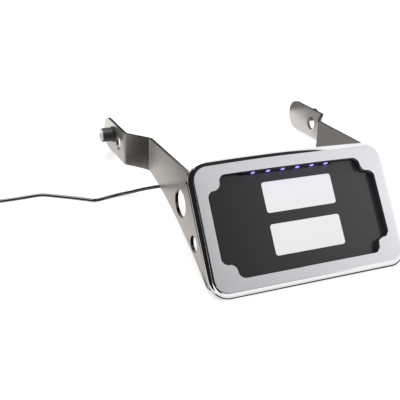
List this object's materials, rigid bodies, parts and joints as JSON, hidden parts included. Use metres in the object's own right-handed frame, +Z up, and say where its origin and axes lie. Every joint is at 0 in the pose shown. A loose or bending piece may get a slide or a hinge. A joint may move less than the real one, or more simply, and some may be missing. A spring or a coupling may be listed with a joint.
{
  "type": "license plate mount",
  "caption": "Motorcycle license plate mount: chrome frame with a lit window, black backing plate, folded brushed steel bracket with holed arms and bolt-on tabs, and a short light lead.",
  "frame": {"origin": "on the table, below the middle of the box round the mount without its light lead", "axes": "+X across the plate to the right as it is read, +Y back along the arms, +Z up from the table"},
  "size_m": [0.3575, 0.2664, 0.081],
  "materials": {
    "brushed_steel": "brushed",
    "chrome": "polished",
    "satin_black": "satin",
    "white_paper": "matte",
    "strip_black": "matte",
    "violet_light": "clear lens, lit",
    "screw_zinc": "satin",
    "post_black": "gloss",
    "black_rubber": "matte",
    "cable_black": "gloss"
  },
  "bodies": {
    "root": {"bracket": "brushed_steel", "plate_frame": "chrome", "backing_plate": "satin_black", "label_upper": "white_paper", "label_lower": "white_paper", "led_strip": "strip_black", "led_1": "violet_light", "led_2": "violet_light", "led_3": "violet_light", "led_4": "violet_light", "led_5": "violet_light", "led_6": "violet_light", "frame_screw_1": "screw_zinc", "frame_screw_2": "screw_zinc", "frame_screw_3": "screw_zinc", "frame_screw_4": "screw_zinc", "frame_washer_1": "screw_zinc", "frame_washer_2": "screw_zinc", "frame_washer_3": "screw_zinc", "frame_washer_4": "screw_zinc", "mounting_post_left": "post_black", "mounting_post_right": "post_black", "harness_grommet": "black_rubber", "harness_cable": "cable_black"}
  },
  "joints": []
}
